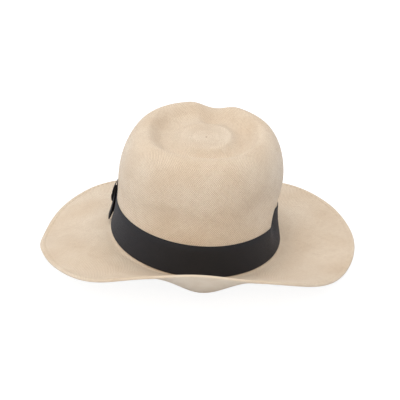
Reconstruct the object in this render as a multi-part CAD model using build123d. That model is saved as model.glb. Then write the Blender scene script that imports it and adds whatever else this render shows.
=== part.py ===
from build123d import *
import math
import os

# A woven straw hat with a ribbon band and bow.  Millimetres.  +Z up, +Y towards the hat's front, +X towards
# the wearer's right.  The origin is the centre of the head opening, on the brim break (the line where the
# crown wall turns into the brim).  Angles around the hat are measured from +X towards +Y.

# ---- head oval and crown
HALF_WIDTH = 85.0          # straw's outer half-width at the brim break
HALF_LENGTH = 101.5        # straw's outer half-length, front to back
EGG = 0.04                 # the head oval is this share narrower in front and wider behind
CROWN_HEIGHT = 113.5       # the crown's rim above the brim break
TOP_TILT = 3.0             # the rim is this much higher on the left and lower on the right
LEAN = 0.066               # the worn crown leans to the wearer's right by this share of height
TAPER = 4.5                # the wall draws in by this much over the ribbon
TAPER_HEIGHT = 40.0
BULGE = 1.0                # and swells again above it
BULGE_HEIGHT = 70.0
BULGE_TALL = 22.0
SHOULDER_IN = 25.0         # the rounded shoulder between wall and rim, inward
SHOULDER_DOWN = 46.0       # and downward
TOP_CENTRE = (9.0, -6.0)   # middle of the crown's raised centre
CREASE_AT = 0.70           # where the teardrop crease lies between the middle (0) and the rim (1)
CREASE_WIDE = 0.30         # width of its inner slope, on the same scale
CREASE_DEPTH = 12.0
CREASE_FRONT = 4.0         # the crease is this much shallower in front
CENTRE_DROP = 5.5          # the raised centre lies this far under the rim

# ---- creases and dents of the crown.  Directions and spreads are in degrees
FRONT = 90.0
NOTCH, NOTCH_AT, NOTCH_SPREAD = 6.0, 87.0, 28.0        # dip of the rim in front
PINCH, PINCH_SPREAD = 9.0, 34.0                        # the two finger pinches
PINCHES_AT = (56.0, 124.0)
PINCH_HEIGHT, PINCH_TALL = 74.0, 24.0
DENT, DENT_AT, DENT_SPREAD = 9.0, -7.0, 20.0           # a dent at the right, behind
DENT_HEIGHT, DENT_ABOVE, DENT_BELOW = 27.0, 20.0, 11.0
HOLLOWS = (                 # shallow hollows behind: amount, direction, spread, height, half-height
    (5.0, -38.0, 30.0, 62.0, 15.0),
    (2.2, -104.0, 44.0, 57.0, 13.0),
)
FULLNESS = ((2.5, 40.0), (4.0, 140.0), (1.5, -45.0), (3.5, -135.0))   # swelling corners: amount, direction
FULL_SPREAD, FULL_FROM, FULL_TALL = 45.0, 40.0, 70.0

# ---- brim
BRIM = 72.2                # brim width along its surface
BRIM_SKEW = 2.2            # the right side is this much wider, the left side this much narrower
BREAK_RADIUS = 2.5         # the bend between wall and brim
BREAK_RISE = 1.5           # the break rises by this at the sides and dips by it in front and behind
BREAK_TILT = 8.0           # it also climbs towards the left by this
BREAK_LEVEL = 2.5          # its middle height
EDGE_LEVEL = -3.0          # height of the brim's edge where it is flat
EDGE_WAVES = (             # rises of the edge: amount, direction, spread
    (39.3, -86.0, 66.0),   # turned up behind
    (8.5, -146.0, 34.0),
    (2.0, -50.0, 30.0),
    (-8.0, 92.0, 50.0),    # down in front
    (-4.0, 182.0, 30.0),   # and a little at the left side
)
EDGE_PULL = 1.15           # how strongly a raised edge draws the brim in
CURL_AT, CURL_SPREAD = -82.0, 23.0     # where the brim rolls up behind
CURL_START = 0.23          # share of the brim that stays flat there before it rolls up
CURL_POWER = 2.2
FLARE_POWER = 1.05         # the gentler rise elsewhere

# ---- straw
STRAW = 1.4                # thickness of the weave
HEM = 5.0                  # width of the turned-under edge
HEM_EXTRA = 1.0            # added thickness there

# ---- ribbon
RIBBON = 0.7               # thickness of the grosgrain
RIBBON_WIDTH = 30.5
RIBBON_LOW = 3.0           # the band's lower edge above the break
SLACK = 0.2                # air between a layer of ribbon and what it lies on

# ---- bow, on the wearer's left
BOW_AT = 165.0             # direction of the knot, degrees
BOW_MIDDLE = 18.3          # height of the knot's middle above the break
LOOP_REACH = 41.0          # from the knot's middle to the fold of each loop
LOOP_HEIGHT = 28.5
LOOP_PUFF = 2.4            # half the air and ribbon in a full loop
LOOP_LOW, LOOP_HIGH = 0.8, 0.55        # shares of that at the loop's lower and upper edge
LOOP_SETTLE = 0.8          # beyond the knot the loops lie this much closer to the band
LOOP_PINCH = 1.1           # the same where the knot presses it flat
KNOT_WIDTH = 14.0
KNOT_OVERHANG = 1.4        # the knot reaches this far above and below the loops
KNOT_ROOM = 2.8            # room under the knot's front for the tail's end
KNOT_CORNER = 1.0
TAIL_TUCK = 1.2            # the tail starts this far under the knot
TAIL_END = 36.0            # the tail's cut end from the knot's middle
TAIL_SLACK = 0.7           # air between the tail and the loop under it
TAIL_START_WIDTH = 20.0
TAIL_END_WIDTH = 22.0
TAIL_CLIMB = 19.6          # the cut end's middle above the knot's middle
TAIL_FALL = 3.2            # it falls in towards the crown by this, beyond the loop's upper edge
TAIL_FALL_OVER = 16.0      # over this height
TAIL_SLANT = 0.25          # the end is cut at a slant by this share

# ---- sweatband
LEATHER = 1.0
SWEAT_GAP = 0.7            # between straw and leather
SWEAT_LOW = 3.0
SWEAT_HIGH = 36.0
SWEAT_FACE = STRAW + SWEAT_GAP + LEATHER       # depth of the leather's visible face
REED_RADIUS = 1.1
SWEAT_SPLIT = 1.0          # gap where the leather's ends meet at the back
TINY_RIBBON = 4.5          # width of the tiny bow's ribbon
TINY_THICKNESS = 0.4
TINY_LOOP = 3.4            # half-length of each of its loops
TAPE = 0.4
TAPE_GAP = 0.3
TAPE_WIDTH = 9.0
LABEL = 0.2
LABEL_GAP = 0.12
LABEL_WIDTH = 22.0
LABEL_HEIGHT = 12.0
LABEL_AT = 175.0           # direction, degrees

AROUND = 48                # points on each ring
STEP = 1e-3                # for slopes worked out by differences
THREAD = 0.17              # radius of the sewing thread
THREAD_LIFT = 0.27         # its middle above what it lies on
HEM_STITCHES = 150
BAND_TACKS = 4
SWEAT_STITCHES = 120


def bump(phi, centre, half_width):
    """1 in the direction centre, falling smoothly to 0 at half_width degrees from it."""
    away = abs((math.degrees(phi) - centre + 180) % 360 - 180)
    return 0.5 * (1 + math.cos(math.pi * min(away / half_width, 1)))


def hill(value, centre, spread):
    return math.exp(-(((value - centre) / spread) ** 2))


def head_oval(phi):
    return (HALF_WIDTH * math.cos(phi) * (1 - EGG * math.sin(phi)), HALF_LENGTH * math.sin(phi))


def outward(phi):
    """Unit normal of the head oval."""
    ax, ay = head_oval(phi - STEP)
    bx, by = head_oval(phi + STEP)
    length = math.hypot(bx - ax, by - ay)
    return (by - ay) / length, (ax - bx) / length


def rim_height(phi):
    """The crown's rim, with a notch in front."""
    return CROWN_HEIGHT - TOP_TILT * math.cos(phi) - NOTCH * bump(phi, NOTCH_AT, NOTCH_SPREAD)


def break_height(phi):
    return BREAK_LEVEL - BREAK_TILT * math.cos(phi) + BREAK_RISE * math.cos(2 * phi)


def crown_point(phi, height, inset):
    """A point of the crown's outside, inset from the head oval, with its pinches and dents."""
    pinch = PINCH * sum(bump(phi, at, PINCH_SPREAD) for at in PINCHES_AT)
    pinch *= hill(height, PINCH_HEIGHT, PINCH_TALL)
    tall = DENT_ABOVE if height > DENT_HEIGHT else DENT_BELOW
    dent = DENT * bump(phi, DENT_AT, DENT_SPREAD) * hill(height, DENT_HEIGHT, tall)
    for amount, at, spread, middle, tall in HOLLOWS:
        dent += amount * bump(phi, at, spread) * hill(height, middle, tall)
    full = sum(amount * bump(phi, at, FULL_SPREAD) for amount, at in FULLNESS)
    full *= min(max((height - FULL_FROM) / FULL_TALL, 0), 1) ** 2
    x, y = head_oval(phi)
    nx, ny = outward(phi)
    out = full - inset - pinch - dent
    return Vector(x + nx * out + LEAN * height, y + ny * out, height)


def wall_point(phi, height):
    """The crown wall at a height above the break."""
    taper = TAPER * (1 - (1 - min(height / TAPER_HEIGHT, 1)) ** 2)
    bulge = BULGE * hill(min(height, BULGE_HEIGHT), BULGE_HEIGHT, BULGE_TALL)
    point = crown_point(phi, height, taper - bulge)
    foot = break_height(phi) * (1 - (max(height, 0) / wall_top(phi)) ** 4)
    return point + Vector(0, 0, foot)


def wall_top(phi):
    return rim_height(phi) - SHOULDER_DOWN


def shoulder_point(phi, turn):
    """turn runs from 0 at the wall to 90 degrees at the rim."""
    turn = math.radians(turn)
    bulge = BULGE * hill(min(wall_top(phi), BULGE_HEIGHT), BULGE_HEIGHT, BULGE_TALL)
    inset = TAPER - bulge + SHOULDER_IN * (1 - math.cos(turn))
    return crown_point(phi, wall_top(phi) + SHOULDER_DOWN * math.sin(turn), inset)


def ease(share):
    """0 to 1, level at both ends."""
    return 0.5 * (1 - math.cos(math.pi * min(max(share, 0), 1)))


def top_point(phi, reach):
    """The crown's top: reach is 0 in the middle, CREASE_AT in the teardrop crease and 1 on the rim."""
    rim = shoulder_point(phi, 90)
    crease = rim.Z - CREASE_DEPTH + CREASE_FRONT * bump(phi, FRONT, 60)
    centre = CROWN_HEIGHT - CENTRE_DROP
    if reach > CREASE_AT:
        z = rim.Z - (rim.Z - crease) * ease((1 - reach) / (1 - CREASE_AT))
    else:
        z = crease + (centre - crease) * ease((CREASE_AT - reach) / CREASE_WIDE)
    cx, cy = TOP_CENTRE
    return Vector(cx + (rim.X - cx) * reach, cy + (rim.Y - cy) * reach, z)


def edge_height(phi):
    """Height of the brim's edge."""
    return EDGE_LEVEL + sum(amount * bump(phi, at, spread) for amount, at, spread in EDGE_WAVES)


def brim_point(phi, share):
    """share is 0 on the break and 1 at the edge."""
    rise = edge_height(phi)
    width = BRIM + BRIM_SKEW * math.cos(phi)
    reach = math.sqrt(width**2 - (EDGE_PULL * rise) ** 2)
    curl = bump(phi, CURL_AT, CURL_SPREAD)
    rolled = (max(share - CURL_START, 0) / (1 - CURL_START)) ** CURL_POWER
    lift = (1 - curl) * share**FLARE_POWER + curl * rolled
    x, y = head_oval(phi)
    nx, ny = outward(phi)
    z = break_height(phi) * (1 - share) + rise * lift
    return Vector(x + nx * reach * share, y + ny * reach * share, z)


def bend_point(phi, share):
    """The small bend from wall (0) to brim (1)."""
    start = wall_point(phi, BREAK_RADIUS)
    end = brim_point(phi, BREAK_RADIUS / BRIM)
    corner = wall_point(phi, 0)
    return start * (1 - share) ** 2 + corner * (2 * share * (1 - share)) + end * share**2


def skin(phi, u):
    """The straw's outside in one parameter: 0-1 top, 1-2 shoulder, 2-3 wall, 3-4 bend, 4-5 brim."""
    if u <= 1:
        return top_point(phi, u)
    if u <= 2:
        return shoulder_point(phi, 90 * (2 - u))
    if u <= 3:
        high = wall_top(phi)
        return wall_point(phi, high + (BREAK_RADIUS - high) * (u - 2))
    if u <= 4:
        return bend_point(phi, u - 3)
    first = BREAK_RADIUS / BRIM
    return brim_point(phi, first + (1 - first) * (u - 4))


def normal(phi, u):
    """Unit normal of the outside."""
    low = max(math.floor(u), u - 0.01) if u > 0.02 else u
    high = u if u > 0.02 and u - low > 0.005 else u + 0.01
    along = skin(phi, high) - skin(phi, low)
    around = skin(phi + STEP, u) - skin(phi - STEP, u)
    return along.cross(around).normalized()


def off_skin(phi, u, distance):
    return skin(phi, u) + normal(phi, u) * distance


def outside(phi, height, distance):
    """A point at a height above the break and a distance off the straw of the crown."""
    high = wall_top(phi)
    if height <= high:
        u = 2 + (high - height) / (high - BREAK_RADIUS)
    else:
        u = 2 - math.degrees(math.asin((height - high) / SHOULDER_DOWN)) / 90
    return off_skin(phi, u, distance)


def ring(place):
    """A closed smooth wire through place(phi) for directions all round the hat."""
    points = [place(2 * math.pi * i / AROUND) for i in range(AROUND)]
    params = [i / AROUND for i in range(AROUND + 1)]
    return Wire([Edge.make_spline(points, periodic=True, parameters=params)])


def thin_shell(faces):
    """One closed solid from faces that share their edges."""
    return Solid(Shell(faces))


def closed_band(place, levels):
    """A thin closed strip: place(phi, level, side) gives its faces, side 1 outside and 0 inside."""
    outer = [ring(lambda phi: place(phi, level, 1)) for level in levels]
    inner = [ring(lambda phi: place(phi, level, 0)) for level in levels]
    round_trip = outer + inner[::-1] + outer[:1]
    pairs = zip(round_trip, round_trip[1:])
    return thin_shell([Face.make_surface_from_curves(a.edge(), b.edge()) for a, b in pairs])


def end_faces(place, stations, levels):
    """The faces that close a strip at its first and last station."""
    faces = []
    for station in (stations[0], stations[-1]):
        rungs = [Edge.make_line(place(station, level, 1), place(station, level, 0)) for level in levels]
        faces += [Face.make_surface_from_curves(a, b) for a, b in zip(rungs, rungs[1:])]
    return faces


def open_band(place, stations, levels):
    """A thin strip with two ends: its cross-section at each station runs out and back over the levels."""
    sections = []
    for station in stations:
        outer = [place(station, level, 1) for level in levels]
        inner = [place(station, level, 0) for level in reversed(levels)]
        sections.append(Wire.make_polygon(outer + inner, close=True))
    faces = list(Shell.make_loft(sections).faces())
    return thin_shell(faces + end_faces(place, stations, levels))


def long_band(place, stations, levels):
    """A long thin strip with two ends: smooth lines along it, joined by straight faces across it."""
    outer = [Edge.make_spline([place(station, level, 1) for station in stations]) for level in levels]
    inner = [Edge.make_spline([place(station, level, 0) for station in stations]) for level in levels]
    round_trip = outer + inner[::-1] + outer[:1]
    faces = [Face.make_surface_from_curves(a, b) for a, b in zip(round_trip, round_trip[1:])]
    return thin_shell(faces + end_faces(place, stations, levels))


def shares(count, first=0.0, last=1.0):
    return [first + (last - first) * i / count for i in range(count + 1)]


def stitch(middle, direction, length):
    """One visible stitch: a short round thread."""
    start = middle - direction * (length / 2)
    return Solid.make_cylinder(THREAD, length, Plane(start, z_dir=direction))


def stitch_between(start, end):
    return stitch((start + end) * 0.5, (end - start).normalized(), (end - start).length)


def around_hat(count, first=0.0):
    return [first + 2 * math.pi * i / count for i in range(count)]


# ---- straw body
TOP_LEVELS = [0.15, 0.3, 0.42, 0.55, 0.62, 0.70, 0.78, 0.86, 0.93, 1.0]
WALL_LEVELS = [1.0, 1.2, 1.4, 1.6, 1.8, 2.0, 2.1, 2.2, 2.35, 2.5, 2.58, 2.66, 2.75, 2.83, 2.92, 3.0]
WALL_LEVELS += [3.25, 3.5, 3.75, 4.0]
BRIM_LEVELS = [4.0, 4.15, 4.3, 4.45, 4.6, 4.75, 4.87, 4.91, 4.94, 4.97, 5.0]


def straw_thickness(u):
    """The weave is folded over under the brim's edge."""
    from_edge = (5 - u) * BRIM
    return STRAW + HEM_EXTRA * ease(1.5 - from_edge / HEM)


def straw_body():
    def outer(u):
        return ring(lambda phi: skin(phi, u))

    def inner(u):
        return ring(lambda phi: off_skin(phi, u, -straw_thickness(u)))

    def nose(phi):
        half = straw_thickness(5) / 2
        nx, ny = outward(phi)
        return off_skin(phi, 5, -half) + Vector(nx, ny, 0) * half

    middle = skin(0, 0)
    tips = (Vertex(*middle), Vertex(*(middle - Vector(0, 0, STRAW))))
    faces = []
    for side, tip in zip((outer, inner), tips):
        faces += Shell.make_loft([tip] + [side(u) for u in TOP_LEVELS]).faces()
        faces += Shell.make_loft([side(u) for u in WALL_LEVELS]).faces()
        faces += Shell.make_loft([side(u) for u in BRIM_LEVELS]).faces()
    faces += Shell.make_loft([outer(5), ring(nose), inner(5)]).faces()
    return thin_shell(faces)


def brim_edge_stitches():
    """A row of small stitches holds the folded edge, on the brim's upper side."""
    solids = []
    u = 5 - (HEM - 1) / BRIM
    for phi in around_hat(HEM_STITCHES):
        middle = off_skin(phi, u, THREAD_LIFT)
        along = (off_skin(phi + STEP, u, THREAD_LIFT) - middle).normalized()
        solids.append(stitch(middle, along, 3.4))
    return solids


# ---- ribbon band
def band_point(phi, level, side):
    """level runs from 0 at the band's lower edge to 1 at its upper edge."""
    return outside(phi, RIBBON_LOW + RIBBON_WIDTH * level, SLACK + RIBBON * side)


def ribbon_band():
    return closed_band(band_point, shares(16))


def ribbon_band_tacks():
    """Four small upright stitches near the band's top edge hold it to the straw."""
    solids = []
    out = SLACK + RIBBON + THREAD_LIFT
    top = RIBBON_LOW + RIBBON_WIDTH
    for phi in around_hat(BAND_TACKS, math.radians(30)):
        solids.append(stitch_between(outside(phi, top - 2.4, out), outside(phi, top - 0.8, out)))
    return solids


# ---- bow
BOW_BASE = SLACK + RIBBON + SLACK              # outside the band, for the knot's back
LOOP_BASE = BOW_BASE + RIBBON + SLACK          # for the loops


def bow_point(along, up, out):
    """along runs round the hat towards the rear, up is over the knot's middle, out is off the straw."""
    phi = math.radians(BOW_AT) + along / HALF_LENGTH
    return outside(phi, BOW_MIDDLE + up, out)


def loop_shape(along, level):
    """The loops' back and half their thickness: pinched under the knot, fuller beyond it."""
    past = ease((abs(along) - KNOT_WIDTH * 0.4) / (LOOP_REACH * 0.45))
    puff = LOOP_PUFF * (LOOP_LOW + (LOOP_HIGH - LOOP_LOW) * level)
    return LOOP_BASE - LOOP_SETTLE * past, LOOP_PINCH + (puff - LOOP_PINCH) * past


def bow_loops():
    """Two flat loops in one closed length of ribbon."""
    def place(turn, level, side):
        inset = RIBBON * (1 - side)
        along = (LOOP_REACH - 1.6 * inset) * math.cos(turn)
        base, half = loop_shape(along, level)
        return bow_point(along, LOOP_HEIGHT * (level - 0.5), base + half + (half - inset) * math.sin(turn))

    return closed_band(place, [0, 0.25, 0.5, 0.75, 1])


def bow_knot():
    """A narrow strip wrapped upright round the middle of the loops; its ends meet behind them."""
    front = LOOP_BASE + 2 * LOOP_PINCH + KNOT_ROOM + RIBBON
    middle = (BOW_BASE + front) / 2
    half_out = (front - BOW_BASE - RIBBON) / 2
    half_up = LOOP_HEIGHT / 2 + KNOT_OVERHANG
    corners = [(half_up, -half_out), (half_up, half_out), (-half_up, half_out), (-half_up, -half_out)]
    path = FilletPolyline((0.2, -half_out), *corners, (-0.2, -half_out), radius=KNOT_CORNER)

    def place(share, level, side):
        at = path @ share
        across = (path % share).rotate(Axis.Z, -90) * (RIBBON * (side - 0.5))
        return bow_point(KNOT_WIDTH * (level - 0.5), at.X + across.X, middle + at.Y + across.Y)

    return open_band(place, shares(60), shares(2))


def tail_point(share, level, side):
    """On the tail, from under the knot (share 0) to its cut end (1); level runs across it."""
    start = KNOT_WIDTH / 2 - TAIL_TUCK
    half = (TAIL_START_WIDTH + (TAIL_END_WIDTH - TAIL_START_WIDTH) * share) / 2
    across = half * (2 * level - 1)
    along = start + (TAIL_END - start) * share
    up = TAIL_CLIMB * ease(share * 0.85) / ease(0.85) + across
    on_loop = min(max(up / LOOP_HEIGHT + 0.5, 0), 1)
    fall = TAIL_FALL * ease((up - LOOP_HEIGHT / 2) / TAIL_FALL_OVER)
    base, half_loop = loop_shape(along, on_loop)
    out = base + 2 * half_loop + TAIL_SLACK - fall
    return bow_point(along + TAIL_SLANT * across * share, up, out + RIBBON * side)


def bow_tail():
    """The ribbon's free end over the rear loop, its upper corner towards the crown."""
    return open_band(tail_point, shares(8), shares(8))


def bow_tacks():
    """Short stitches where the loops' corners are caught down on the band."""
    solids = []
    for along in (-LOOP_REACH + 3, LOOP_REACH - 3):
        for up in (LOOP_HEIGHT / 2 + 0.5, -LOOP_HEIGHT / 2 - 0.5):
            out = SLACK + RIBBON + THREAD_LIFT
            solids.append(stitch_between(bow_point(along - 0.9, up, out), bow_point(along + 0.9, up, out)))
    return solids


# ---- sweatband, reed and what is sewn to them
def inside(phi, height, distance):
    """A point inside the crown, a distance in from the straw's outer surface."""
    nx, ny = outward(phi)
    return wall_point(phi, height) - Vector(nx, ny, 0) * distance


def sweat_turn(share):
    """Once round from the back, with a narrow gap where the ends meet."""
    gap = SWEAT_SPLIT / HALF_WIDTH
    return math.radians(-90) + gap / 2 + (2 * math.pi - gap) * share


def sweatband():
    """A leather strip round the inside of the crown."""
    def place(share, level, side):
        height = SWEAT_LOW + (SWEAT_HIGH - SWEAT_LOW) * level
        return inside(sweat_turn(share), height, STRAW + SWEAT_GAP + LEATHER * (1 - side))

    return long_band(place, shares(72), shares(18))


def sweatband_reed():
    """A thin round reed under the leather's lower edge, on the straw's bend."""
    centre = STRAW + SWEAT_GAP + LEATHER / 2 + 0.4
    points = [inside(sweat_turn(share), SWEAT_LOW - REED_RADIUS - 0.2, centre) for share in shares(60)]
    path = Edge.make_spline(points)
    return Solid.sweep(Wire(Circle(REED_RADIUS, mode=Mode.PRIVATE).edges()).moved(
        Location(Plane(path @ 0, z_dir=path % 0))), path=path)


def sweatband_stitches():
    """A row of stitches just above the leather's lower edge."""
    solids = []
    depth = SWEAT_FACE + THREAD_LIFT
    for share in shares(SWEAT_STITCHES, 0.01, 0.99):
        middle = inside(sweat_turn(share), SWEAT_LOW + 2, depth)
        along = (inside(sweat_turn(share) + STEP, SWEAT_LOW + 2, depth) - middle).normalized()
        solids.append(stitch(middle, along, 2.8))
    return solids


def sweatband_tape():
    """A tape over the join at the back of the leather."""
    def place(share, level, side):
        phi = math.radians(-90) + (share - 0.5) * TAPE_WIDTH / HALF_WIDTH
        height = SWEAT_LOW + 4 + (SWEAT_HIGH - SWEAT_LOW - 5) * level
        return inside(phi, height, SWEAT_FACE + TAPE_GAP + TAPE * (1 - side))

    return open_band(place, shares(2), shares(4))


def sweatband_bow():
    """The tiny bow that marks the back: two folded loops and the knot between them."""
    depth = SWEAT_FACE + TAPE_GAP + TAPE + 1.6

    def on_back(along, level, distance):
        phi = math.radians(-90) + along / HALF_WIDTH
        return inside(phi, SWEAT_LOW + 3.2 + TINY_RIBBON * level, distance)

    def loop(side):
        def place(share, level, face):
            turn = 2 * math.pi * share
            inset = TINY_THICKNESS * (1 - face)
            along = TINY_LOOP + 1.2 - (TINY_LOOP - inset) * math.cos(turn)
            return on_back(side * along, level, depth + (1.2 - inset) * math.sin(turn))

        return open_band(place, shares(24, 0.03, 0.97), shares(1))

    def knot(share, level, face):
        return on_back(2 * share - 1, 1.2 * level - 0.1, depth + 1.1 - 2.2 * face)

    return [loop(-1), loop(1), open_band(knot, shares(2), shares(1))]


def size_label():
    """A small blank tag tucked behind the top of the leather."""
    def place(share, level, side):
        phi = math.radians(LABEL_AT) + (share - 0.5) * LABEL_WIDTH / HALF_WIDTH
        height = SWEAT_HIGH - 6 + LABEL_HEIGHT * level
        return inside(phi, height, STRAW + LABEL_GAP + LABEL * (1 - side))

    return open_band(place, shares(3), shares(2))


# ==== BUILD
os.makedirs("parts", exist_ok=True)
pieces = {
    "straw_body": straw_body,
    "brim_edge_stitches": brim_edge_stitches,
    "ribbon_band": ribbon_band,
    "ribbon_band_tacks": ribbon_band_tacks,
    "bow_loops": bow_loops,
    "bow_knot": bow_knot,
    "bow_tail": bow_tail,
    "bow_tacks": bow_tacks,
    "sweatband": sweatband,
    "sweatband_reed": sweatband_reed,
    "sweatband_stitches": sweatband_stitches,
    "sweatband_tape": sweatband_tape,
    "sweatband_bow": sweatband_bow,
    "size_label": size_label,
}
for name, make in pieces.items():
    made = make()
    if isinstance(made, list):
        made = Compound(children=made)
    made.label = name
    export_step(made, f"parts/{name}.step")
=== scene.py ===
import math

import bpy
import numpy as np
from mathutils import Matrix, Vector


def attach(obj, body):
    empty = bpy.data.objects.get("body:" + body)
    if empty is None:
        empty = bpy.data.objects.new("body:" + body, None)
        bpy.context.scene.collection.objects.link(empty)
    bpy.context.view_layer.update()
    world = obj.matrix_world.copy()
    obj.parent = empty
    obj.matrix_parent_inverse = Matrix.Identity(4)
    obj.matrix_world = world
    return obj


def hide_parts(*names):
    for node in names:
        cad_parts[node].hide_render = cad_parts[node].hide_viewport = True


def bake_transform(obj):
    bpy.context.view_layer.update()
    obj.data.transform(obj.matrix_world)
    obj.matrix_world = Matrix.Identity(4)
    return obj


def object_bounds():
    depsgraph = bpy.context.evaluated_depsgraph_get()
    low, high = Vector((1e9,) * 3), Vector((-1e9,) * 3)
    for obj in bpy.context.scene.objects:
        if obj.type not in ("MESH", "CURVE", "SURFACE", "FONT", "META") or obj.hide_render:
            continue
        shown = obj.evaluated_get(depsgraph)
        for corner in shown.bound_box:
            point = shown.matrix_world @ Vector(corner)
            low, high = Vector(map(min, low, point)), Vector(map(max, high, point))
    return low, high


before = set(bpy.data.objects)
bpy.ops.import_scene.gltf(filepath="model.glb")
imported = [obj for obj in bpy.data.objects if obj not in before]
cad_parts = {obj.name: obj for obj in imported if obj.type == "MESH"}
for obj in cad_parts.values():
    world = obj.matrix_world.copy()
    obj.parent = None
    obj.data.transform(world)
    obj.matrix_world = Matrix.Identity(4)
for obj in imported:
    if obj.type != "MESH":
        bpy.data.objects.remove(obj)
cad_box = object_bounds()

# A woven straw hat with a ribbon band and bow.  Lengths here are in millimetres and become metres when a
# mesh is made.  +Y is the hat's front, +X the wearer's right, and angles run from +X towards +Y.
MM = 0.001

# ---- crown and brim, as in the CAD model
HALF_WIDTH = 85.0       # straw's outer half-width at the brim break
HALF_LENGTH = 101.5     # straw's outer half-length, front to back
EGG = 0.04              # the head oval is this share narrower in front and wider behind
CROWN_HEIGHT = 113.5    # the crown's rim above the brim break
TOP_TILT = 3.0          # the rim is this much higher on the left and lower on the right
LEAN = 0.066            # the worn crown leans to the wearer's right by this share of height
TAPER, TAPER_HEIGHT = 4.5, 40.0  # the wall draws in by this much over the ribbon
BULGE, BULGE_HEIGHT, BULGE_TALL = 1.0, 70.0, 22.0  # and swells again above it
SHOULDER_IN = 25.0      # the rounded shoulder between wall and rim, inward
SHOULDER_DOWN = 46.0    # and downward
TOP_CENTRE = (9.0, -6.0)  # middle of the crown's raised centre
CREASE_AT = 0.70        # where the teardrop crease lies between the middle (0) and the rim (1)
CREASE_WIDE = 0.30      # width of its inner slope, on the same scale
CREASE_DEPTH = 12.0
CREASE_FRONT = 4.0      # the crease is this much shallower in front
CENTRE_DROP = 5.5       # the raised centre lies this far under the rim

# ---- creases and dents of the crown.  Directions and spreads are in degrees
FRONT = 90.0
NOTCH, NOTCH_AT, NOTCH_SPREAD = 6.0, 87.0, 28.0  # dip of the rim in front
PINCH, PINCH_SPREAD = 9.0, 34.0  # the two finger pinches
PINCHES_AT = (56.0, 124.0)
PINCH_HEIGHT, PINCH_TALL = 74.0, 24.0
DENT, DENT_AT, DENT_SPREAD = 9.0, -7.0, 20.0  # a dent at the right, behind
DENT_HEIGHT, DENT_ABOVE, DENT_BELOW = 27.0, 20.0, 11.0
HOLLOWS = (             # shallow hollows behind: amount, direction, spread, height, half-height
    (5.0, -38.0, 30.0, 62.0, 15.0),
    (2.2, -104.0, 44.0, 57.0, 13.0),
)
FULLNESS = ((2.5, 40.0), (4.0, 140.0), (1.5, -45.0), (3.5, -135.0))  # swelling corners: amount, direction
FULL_SPREAD, FULL_FROM, FULL_TALL = 45.0, 40.0, 70.0

# ---- brim
BRIM = 72.2             # brim width along its surface
BRIM_SKEW = 2.2         # the right side is this much wider, the left side this much narrower
BREAK_RADIUS = 2.5      # the bend between wall and brim
BREAK_RISE = 1.5        # the break rises by this at the sides and dips by it in front and behind
BREAK_TILT = 8.0        # it also climbs towards the left by this
BREAK_LEVEL = 2.5       # its middle height
EDGE_LEVEL = -3.0       # height of the brim's edge where it is flat
EDGE_WAVES = (          # rises of the edge: amount, direction, spread
    (39.3, -86.0, 66.0),  # turned up behind
    (8.5, -146.0, 34.0),
    (2.0, -50.0, 30.0),
    (-8.0, 92.0, 50.0),  # down in front
    (-4.0, 182.0, 30.0),  # and a little at the left side
)
EDGE_PULL = 1.15        # how strongly a raised edge draws the brim in
CURL_AT, CURL_SPREAD = -82.0, 23.0  # where the brim rolls up behind
CURL_START = 0.23       # share of the brim that stays flat there before it rolls up
CURL_POWER = 2.2
FLARE_POWER = 1.05      # the gentler rise elsewhere

# ---- straw
STRAW = 1.4             # thickness of the weave
HEM = 5.0               # width of the fold at the brim's edge
HEM_EXTRA = 1.0         # how much thicker the fold is

# ---- ribbon and bow.  The loops' fullness and the tail's slack are a little more than in the CAD model
RIBBON = 0.7            # thickness of the ribbon
RIBBON_WIDTH = 30.5
RIBBON_LOW = 3.0        # its lower edge is this far above the break
SLACK = 0.2             # air between layers
BOW_AT = 165.0          # direction of the knot
BOW_MIDDLE = 18.3       # height of the bow's middle above the break
LOOP_REACH = 41.0       # from the knot's middle to a loop's fold
LOOP_HEIGHT = 28.5
LOOP_PUFF = 2.4         # half thickness of a loop where it is fullest
LOOP_LOW, LOOP_HIGH = 1.0, 0.6  # share of that along its lower and its upper edge
LOOP_SETTLE = 0.8       # beyond the knot a loop lies this much closer to the band
LOOP_PINCH = 1.1        # half thickness under the knot
KNOT_WIDTH = 14.0
KNOT_OVERHANG = 1.4     # it stands over the loops by this
KNOT_ROOM = 2.8         # room in front of the loops for the tail
KNOT_CORNER = 1.6       # radius of the knot's four folds
KNOT_GAP = 0.2          # half the gap where its ends meet behind
TAIL_TUCK = 1.2         # the tail starts this far under the knot
TAIL_END = 36.0         # and ends this far from the knot's middle
TAIL_SLACK = 1.2        # air between it and the loop
TAIL_START_WIDTH, TAIL_END_WIDTH = 20.0, 22.0
TAIL_CLIMB = 19.6       # its end is this much higher than its start
TAIL_LEVEL_OFF = 0.85   # share of a full rise that it goes through
TAIL_FALL = 3.8         # beyond the loop's upper edge it falls in towards the crown by this
TAIL_FALL_OVER = 16.0   # over this height
TAIL_SLANT = 0.25       # the end is cut at a slant by this share
TAIL_BEND = 2.5         # a second point this far out of the knot is worked out in build_tail, but nothing uses it
PINKS = 9               # teeth of its zigzag end
PINK_DEPTH = 2.2
PINK_FROM = 0.7         # share of the tail where its rows start to follow them
RIB = 0.9               # pitch of the grosgrain's ribs
RIB_DEPTH = 0.12

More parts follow.
